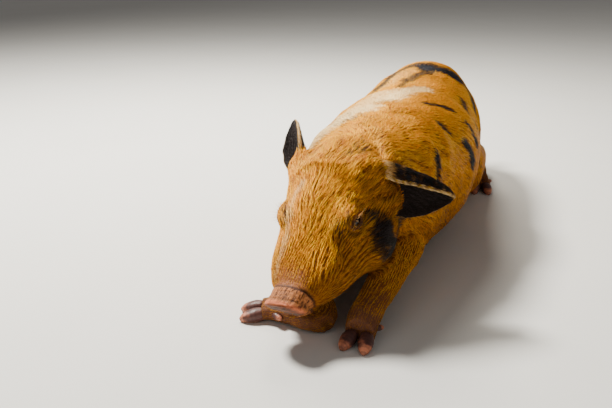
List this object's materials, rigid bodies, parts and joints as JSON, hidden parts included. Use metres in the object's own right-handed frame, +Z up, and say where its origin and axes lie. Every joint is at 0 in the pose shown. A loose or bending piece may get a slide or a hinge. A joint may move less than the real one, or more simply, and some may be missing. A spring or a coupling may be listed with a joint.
{
  "type": "piglet figure",
  "caption": "Life-size still figure of a young spotted ginger piglet lying on its chest with its head low, legs folded, one ear folded forward and one half raised.",
  "frame": {"origin": "on the floor, under the middle of the bounding box", "axes": "+Z up, the piglet faces -Y, its left side is +X and its spine runs along Y"},
  "size_m": [0.2311, 0.6873, 0.1905],
  "materials": {
    "hide": "short ginger coat over skin",
    "ear_hide": "thin dark skin with sparse hair",
    "snout_skin": "bare moist skin",
    "horn": "satin horn",
    "eye": "wet gloss"
  },
  "bodies": {
    "root": {"ear_left": "ear_hide", "ear_right": "ear_hide", "eye_left": "eye", "eye_right": "eye", "forefoot_left_inner_dewclaw": "horn", "forefoot_left_inner_hoof": "horn", "forefoot_left_outer_dewclaw": "horn", "forefoot_left_outer_hoof": "horn", "forefoot_right_inner_dewclaw": "horn", "forefoot_right_inner_hoof": "horn", "forefoot_right_outer_dewclaw": "horn", "forefoot_right_outer_hoof": "horn", "foreleg_left": "hide", "foreleg_right": "hide", "head": "hide", "hindfoot_left_inner_dewclaw": "horn", "hindfoot_left_inner_hoof": "horn", "hindfoot_left_outer_dewclaw": "horn", "hindfoot_left_outer_hoof": "horn", "hindfoot_right_inner_dewclaw": "horn", "hindfoot_right_inner_hoof": "horn", "hindfoot_right_outer_dewclaw": "horn", "hindfoot_right_outer_hoof": "horn", "hindleg_left": "hide", "hindleg_right": "hide", "lower_jaw": "hide", "neck": "hide", "snout": "snout_skin", "tail": "hide", "torso": "hide"}
  },
  "joints": []
}
